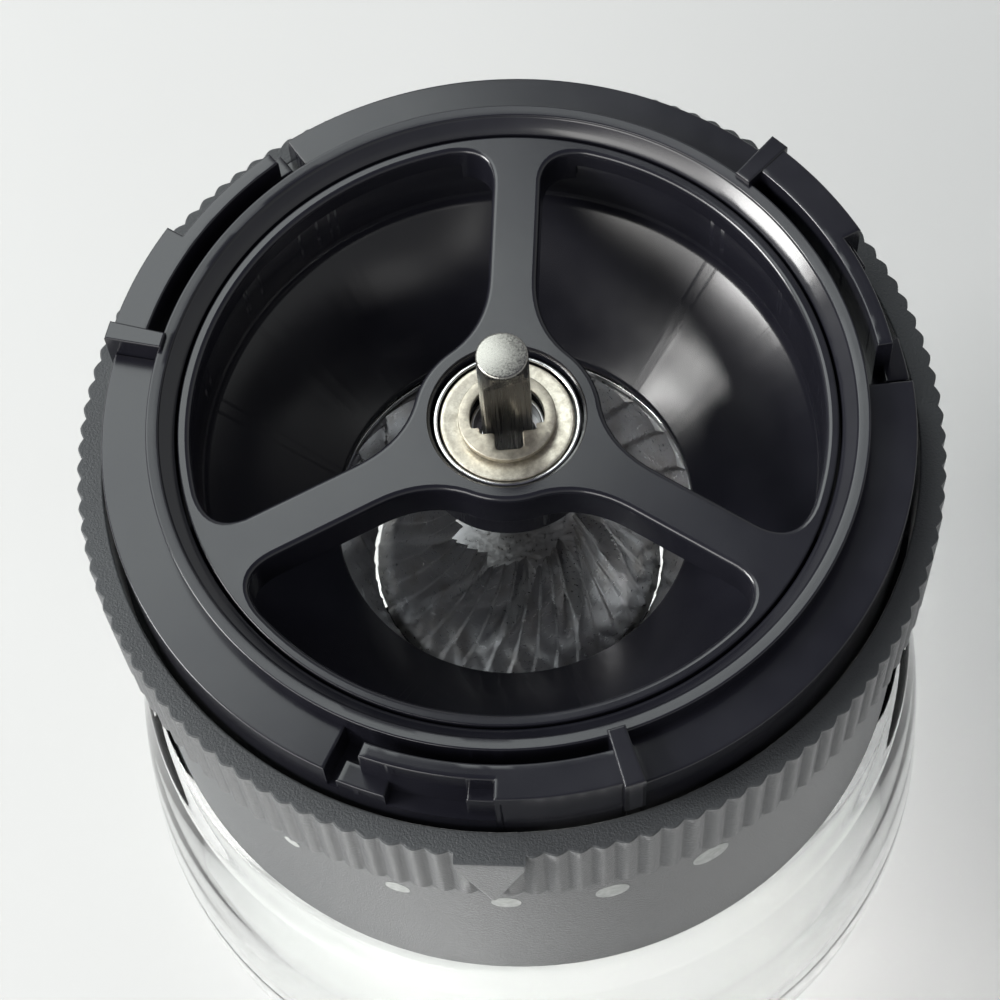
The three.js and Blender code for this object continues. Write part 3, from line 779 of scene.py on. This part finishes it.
def keyed_washer():
    """Washer whose hole is round behind the shaft and narrower in front of it, with a small notch."""
    hole_r, ledge, slot, slot_y, notch, notch_y = 4.0, -1.1, 3.05, -1.9, 1.5, -4.0
    corner = math.degrees(math.asin(-ledge / hole_r))
    arc = [tuple(polar(hole_r, a)[:2]) for a in np.linspace(-corner, 180 + corner, 60)]
    hole = rounded([
        *arc, (-slot, ledge, 0.2), (-slot, slot_y, 0.3), (-notch, slot_y, 0.3), (-notch, notch_y, 0.5),
        (notch, notch_y, 0.5), (notch, slot_y, 0.3), (slot, slot_y, 0.3), (slot, ledge, 0.2),
    ], 4)
    low, top = heights("keyed_washer")
    rows = edge_rows(low, top, 0.14, 0.1, 3)
    washer = plate("shaft_washer", [(circle_outline(5.3, 128), rows), (hole[::-1], rows)])
    place(washer, "drive", "shaft_steel", "washer", "keyed_washer")


# ------------------------------------------------------------------ drive
def drive_shaft():
    """Crank shaft with a milled flat, whose upper end ramps out to the surface."""
    low, top = SHAFT_Z
    bar = lathe("crank_shaft", [(0, low), (SHAFT_R, low, 0.3), (SHAFT_R, top, 0.28), (0, top)], 96, 4)
    offset, ramp_foot, ramp_top, reach = 1.15, top - 4.5, top - 0.3, 4.5
    rise = (ramp_top - ramp_foot) / (SHAFT_R - offset)
    outline = rounded([
        (offset, low + 1.6, 0.8), (reach, low + 1.6), (reach, ramp_top + rise * (reach - SHAFT_R)),
        (offset, ramp_foot, 3),
    ], 8)
    cutter = plate("cutter", [(outline, [(0, 4.0), (0, -4.0)])])
    cutter.data.transform(Matrix.Rotation(math.pi / 2, 4, "X"))
    turned_about(cutter, SHAFT_FLAT_ANGLE)
    place(cut(bar, cutter), "drive", "shaft_steel", "shaft", "drive_shaft")


def saw(phase, sharpness=1.6):
    """Tooth form from 0 at the cutting edge to 1 at the root, over one turn of phase in teeth."""
    share = phase % 1.0
    return share ** (1 / sharpness) if share < 0.86 else (1 - share) / 0.14 * 0.86 ** (1 / sharpness)


def cone_burr():
    """Cone burr: coarse spiral flutes that draw beans in, running out into fine teeth at the foot."""
    low, top = heights("cone_burr")
    levels = np.linspace(low, top, 30)
    facets = 540
    stations = []
    for k in range(facets):
        turn = k / facets
        outline = []
        for z in levels:
            up = (z - low) / (top - low)
            radius = 17 + (8.5 - 17) * up
            coarse = min(1.0, max(0.0, (up - 0.25) / 0.35))
            phase = turn - 0.12 * up
            depth = coarse * 2.0 * saw(9 * phase) + (0.15 + 0.3 * up) * saw(36 * (turn - 0.05 * up))
            outline.append(polar(radius - depth, turn * 360, z))
        inner = ((SHAFT_BORE_R, top), (SHAFT_BORE_R, low + 4), (6.2, low + 4), (6.2, low))
        outline += [polar(r, turn * 360, z) for r, z in inner]
        stations.append(outline)
    burr = loft("burr_cone", stations, sharp=28)
    place(burr, "drive", "burr_steel", "burr", "cone_burr")


def ring_burr():
    """Ring burr: leaning teeth inside, finer and shallower towards the foot."""
    low, top = heights("ring_burr")
    levels = np.linspace(low, top, 16)
    facets = 24 * 20
    stations = []
    for k in range(facets):
        turn = k / facets
        inside = []
        for z in levels:
            up = (z - low) / (top - low)
            root = 17.3 + (21 - 17.3) * up
            tooth = 1 - saw(24 * (turn + 0.04 * up))
            fine = 1 - saw(48 * (turn + 0.04 * up))
            inside.append((root - (0.05 + 0.9 * up) * tooth - 0.15 * (1 - up) * fine, z))
        outside = [(21.9, top), (23.3, top - 0.5), (23.3, low + 0.4), (22.9, low)]
        stations.append([polar(r, turn * 360, z) for r, z in inside + outside])
    burr = loft("burr_ring", stations, sharp=28)
    place(burr, "lower_burr", "burr_steel", "burr", "ring_burr")


# ------------------------------------------------------------------ dial
def adjusting_ring():
    """Adjusting ring: convex flutes round its grip, an index pointer, and a slotted inner web."""
    low, top = RING_Z
    stations = []
    per_flute = 8
    for k in range(FLUTES * per_flute):
        across = 2 * (k % per_flute) / per_flute - 1
        radius = RING_R - FLUTE_DEPTH * abs(across) ** 1.5
        section = rounded([
            (radius, low, 0.3), (radius, top, 0.22), (RING_BORE_R, top, 0.25), (RING_BORE_R, 98.8),
            (31.2, 98.8, 0.3), (31.2, 96.3, 0.3), (44, 96.3), (44, low, 0.2),
        ], 4)
        stations.append([polar(r, 360 * k / (FLUTES * per_flute), z) for r, z in section])
    grip = loft("fluted_ring", stations, sharp=34)
    half, shoulder = 3.7, top - 1.6
    outline = rounded([
        (-half, shoulder, 0.2), (0, low + 0.1, 0.3), (half, shoulder, 0.2), (half, top), (-half, top)], 3)
    rows = [(0.15, POINTER_R), (0.05, POINTER_R - 0.06), (0, POINTER_R - 0.2), (0, 45.6)]
    pointer = plate("pointer", [(outline, rows)])
    pointer.data.transform(Matrix.Rotation(math.pi / 2, 4, "X"))
    turned_about(pointer, POINTER_ANGLE - 270)
    slots = [sector("slot", 35.3, 42.7, angle - 38, angle + 38, 95, 100) for angle in PILLAR_ANGLES]
    holes = [post("hole", 1.3, 95, 98.3, NUT_SCREW_CIRCLE_R, angle, facets=24) for angle in SPOKE_ANGLES]
    body = cut(join(grip, pointer), *slots, *holes)
    return place(body, "dial", "grained_plastic", "grained", "adjusting_ring")


def adjusting_nut():
    low, top = heights("adjusting_nut")
    nut = lathe("dial_nut", [
        (27.6, low, 0.4), (30.6, low, 0.4), (30.6, 93.4, 0.5), (35.2, 93.4, 0.3), (35.2, top, 0.3),
        (27.6, top, 0.4)])
    holes = [post("hole", 1.5, 93, 97, NUT_SCREW_CIRCLE_R, angle, facets=24) for angle in SPOKE_ANGLES]
    place(cut(nut, *holes), "dial", "inner_plastic", "inner", "adjusting_nut")


# ------------------------------------------------------------------ pieces inside
def block(name, r0, r1, width, z0, z1, angle, edge=0.4):
    """Bar along a radius, with rounded upright corners and softened edges."""
    half = width / 2
    outline = rounded([(r0, -half, 0.8), (r1, -half, 0.8), (r1, half, 0.8), (r0, half, 0.8)], 4)
    return turned_about(plate(name, [(outline, edge_rows(z0, z1, edge, edge, 3))]), angle)


def bearing_bridge():
    """Three-armed bridge below the deck, with a hub for the lower bush."""
    low, top = heights("bearing_bridge")
    hub = lathe("bridge", [(5.3, low, 0.4), (8.6, low, 0.5), (8.6, 75, 0.5), (5.3, 75, 0.3)], 96)
    parts = [block("arm", 7, 36.3, 8, 70, 73.5, angle) for angle in SPOKE_ANGLES]
    parts += [block("rib", 7, 33, 2.4, 68.9, 72, angle, 0.3) for angle in SPOKE_ANGLES]
    parts += [block("foot", 32.2, 36.3, 7.9, 72.5, top, angle) for angle in SPOKE_ANGLES]
    holes = []
    for angle in SPOKE_ANGLES:
        holes.append(post("hole", 1.6, 69, 78, BRIDGE_SCREW_CIRCLE_R, angle, facets=24))
        holes.append(post("hole", 1.7, 71.5, 75, PIN_CIRCLE_R, angle, facets=24))
    place(cut(join(hub, *parts), *holes), "head", "inner_plastic", "inner", "bearing_bridge")


def burr_holder():
    low, top = heights("burr_holder")
    cup = lathe("ring_burr_holder", [
        (20, low, 0.3), (27.2, low, 0.4), (27.2, top, 0.3), (23.6, top, 0.3), (23.6, 79.2), (20, 79.2, 0.3)])
    ears = [block("ear", 25, 31.7, 7, low, 80, angle) for angle in SPOKE_ANGLES]
    inside = post("inside", 23.6, 79.2, 82, facets=ROUND)
    holes = [post("hole", 1.7, 77, 81, PIN_CIRCLE_R, angle, facets=24) for angle in SPOKE_ANGLES]
    place(cut(join(cup, *ears), inside, *holes), "lower_burr", "inner_plastic", "inner", "burr_holder")


def cross_screw(node, body, head_r, head_h, shank_r, z, length, circle, angles):
    """Three round-headed screws with a cross recess, pointing up."""
    head = lathe("screw", [
        (0, z - head_h), (head_r * 0.62, z - head_h, 0.35), (head_r, z - head_h * 0.45, 0.3),
        (head_r, z, 0.08), (shank_r, z), (shank_r, z + length - 0.5, 0.2), (shank_r * 0.6, z + length),
        (0, z + length),
    ], 32, 3)
    reach, width = head_r * 0.55, head_r * 0.24
    blades = [block("blade", -reach, reach, width, z - head_h - 1, z - head_h * 0.4, turn, 0)
              for turn in (0, 90)]
    head = cut(head, *blades)
    for number, angle in enumerate(angles, 1):
        copy = bpy.data.objects.new(f"cross_{node}_{number}", head.data.copy())
        scene.collection.objects.link(copy)
        copy.data.transform(Matrix.Rotation(0.7 * number, 4, "Z"))
        copy.data.transform(Matrix.Translation(Vector(polar(circle, angle)) * MM))
        place(shade(copy), body, "plated_steel", "plated", f"{node}_{number}")
    bpy.data.objects.remove(head)


def coil(name, radius, wire, z0, z1, turns, centre=(0, 0)):
    """Coil spring with closed ends."""
    steps = int(turns * 32)
    stations = []
    for k in range(steps + 1):
        share = k / steps
        turn = 2 * math.pi * turns * share
        z = z0 + wire + share * (z1 - z0 - 2 * wire)
        stations.append([
            ((radius + wire * math.cos(a)) * math.cos(turn) + centre[0],
             (radius + wire * math.cos(a)) * math.sin(turn) + centre[1], z + wire * math.sin(a))
            for a in np.arange(12) * math.pi / 6])
    return loft(name, stations, closed=False)


def small_parts():
    """Seal, bush, washers, springs, ball, pins, clip, nut and screws."""
    gasket = lathe("jar_seal", [(37.2, 75.3, 0.4), (41.2, 75.3, 0.4), (41.2, 76.7, 0.4), (37.2, 76.7, 0.4)])
    place(gasket, "head", "silicone", "silicone", "jar_gasket")
    bush = lathe("bush", [
        (SHAFT_BORE_R, 68.8, 0.2), (5, 68.8, 0.3), (5, 75.3), (6.8, 75.3, 0.2), (6.8, 76.6, 0.3),
        (SHAFT_BORE_R, 76.6, 0.3)], 96)
    place(bush, "head", "bronze", "bronze", "lower_bush")
    low, top = heights("thrust_washer")
    washer = lathe("thrust_ring", [
        (SHAFT_BORE_R, low, 0.1), (6, low, 0.15), (6, top, 0.15), (SHAFT_BORE_R, top, 0.1)], 96)
    place(washer, "drive", "plated_steel", "plated", "thrust_washer")
    place(coil("cone_spring", 4.4, 0.5, 77.9, 82.3, 3), "drive", "plated_steel", "plated", "burr_spring")
    place(coil("click_spring", 0.85, 0.2, 87.2, 93.3, 5, (0, DETENT_CIRCLE_R)),
          "head", "plated_steel", "plated", "detent_spring")
    arc = [(1.15 * math.sin(t), 94.6 - 1.15 * math.cos(t)) for t in np.linspace(0, math.pi, 20)]
    ball = lathe("click_ball", arc, 40)
    ball.data.transform(Matrix.Translation(Vector((0, DETENT_CIRCLE_R, 0)) * MM))
    place(ball, "head", "plated_steel", "plated", "detent_ball")
    for number, angle in enumerate(SPOKE_ANGLES, 1):
        pin = post(f"pin_{number}", 1.5, 71.7, 81, PIN_CIRCLE_R, angle, 0.35, 32)
        place(pin, "head", "plated_steel", "plated", f"guide_pin_{number}")
    clip_angles = np.linspace(110, 430, 120)
    clip_outline = [polar(23.3, a)[:2] for a in clip_angles] + [polar(20.9, a)[:2] for a in clip_angles[::-1]]
    clip = plate("snap_ring", [(np.array(clip_outline), edge_rows(88.6, 89.5, 0.12, 0.12, 3))])
    place(clip, "lower_burr", "plated_steel", "plated", "ring_burr_clip")
    low, top = heights("shaft_nut")
    hexagon = rounded([(*polar(4.6, 60 * k)[:2], 0.5) for k in range(6)], 3)
    thread = circle_outline(SHAFT_BORE_R, 64, hole=True)
    nut = plate("end_nut", [(hexagon, edge_rows(low, top, 0.3, 0.3, 3)),
                            (thread, edge_rows(low, top, 0.25, 0.25, 3))])
    place(nut, "drive", "plated_steel", "plated", "shaft_nut")
    cross_screw("hopper_screw", "head", 2.7, 1.5, 1.4, 78.7, 12, PILLAR_CIRCLE_R, PILLAR_ANGLES)
    cross_screw("bridge_screw", "head", 2.0, 1.6, 0.9, 69.7, 9, BRIDGE_SCREW_CIRCLE_R, SPOKE_ANGLES)
    cross_screw("nut_screw", "dial", 1.9, 1.4, 1.0, 93.1, 5, NUT_SCREW_CIRCLE_R, SPOKE_ANGLES)


# ------------------------------------------------------------------ camera, lights and table
def camera():
    """Camera in front of the grinder and well above it, looking down at the hopper."""
    pitch, yaw, roll = (math.radians(a) for a in (64.33, 0.71, -5.54))
    forward = Matrix.Rotation(yaw, 3, "Z") @ Vector((0, math.cos(pitch), -math.sin(pitch)))
    right = Matrix.Rotation(yaw, 3, "Z") @ Vector((1, 0, 0))
    up = right.cross(forward)
    right, up = math.cos(roll) * right + math.sin(roll) * up, -math.sin(roll) * right + math.cos(roll) * up
    data = bpy.data.cameras.new("camera")
    data.sensor_width = 36
    data.lens = 2.615 * data.sensor_width
    data.clip_start = 0.01
    obj = bpy.data.objects.new("camera", data)
    obj.matrix_world = Matrix((right, up, -forward)).transposed().to_4x4()
    obj.location = (0, -2.726 * RING_R * MM, (RING_Z[1] + 5.366 * RING_R) * MM)
    scene.collection.objects.link(obj)
    scene.camera = obj


def soft_light(name, place_at, aim, size, power, colour):
    """Rectangular area light at a place, turned towards a point."""
    data = bpy.data.lights.new(name, "AREA")
    data.shape = "RECTANGLE"
    data.size, data.size_y = size
    data.energy = power
    data.color = colour
    obj = bpy.data.objects.new(name, data)
    obj.location = place_at
    obj.rotation_euler = (Vector(aim) - Vector(place_at)).to_track_quat("-Z", "Y").to_euler()
    scene.collection.objects.link(obj)


def room():
    """Dim room: pale near the horizon, dark overhead."""
    world = bpy.data.worlds.new("room")
    scene.world = world
    world.use_nodes = True
    tree = world.node_tree
    direction = tree.nodes.new("ShaderNodeTexCoord")
    split = tree.nodes.new("ShaderNodeSeparateXYZ")
    ramp = tree.nodes.new("ShaderNodeValToRGB")
    tree.links.new(direction.outputs["Generated"], split.inputs[0])
    tree.links.new(split.outputs[2], ramp.inputs[0])
    tree.links.new(ramp.outputs[0], tree.nodes["Background"].inputs["Color"])
    first, last = ramp.color_ramp.elements
    first.position, first.color = 0.45, (0.78, 0.80, 0.80, 1)
    last.position, last.color = 0.88, (0.13, 0.13, 0.17, 1)
    tree.nodes["Background"].inputs["Strength"].default_value = 0.75


def studio():
    """Plain table, a broad window low on the left in front, and a pale panel high behind on the left."""
    bpy.ops.mesh.primitive_plane_add(size=6, location=(0, 0, -0.0003))
    table = bpy.context.object
    table.name = "table"
    table.data.materials.append(table_top())
    room()
    aim = (0, 0, 0.1)
    soft_light("window", (-0.74, -0.76, 0.76), aim, (0.95, 0.5), 9, (1.0, 0.99, 0.96))
    soft_light("side", (-1.10, -0.12, 0.80), aim, (0.5, 0.5), 23, (1.0, 1.0, 0.98))
    soft_light("panel", (-0.46, 0.68, 1.11), aim, (0.9, 0.9), 9.5, (0.94, 1.0, 0.985))


def build():
    camera()
    studio()
    glass_jar()
    housing()
    index_dots()
    hopper()
    spoke_carrier()
    bearing()
    keyed_washer()
    drive_shaft()
    cone_burr()
    ring_burr()
    adjusting_ring()
    adjusting_nut()
    bearing_bridge()
    burr_holder()
    small_parts()


build()
scene.view_settings.view_transform = "Standard"
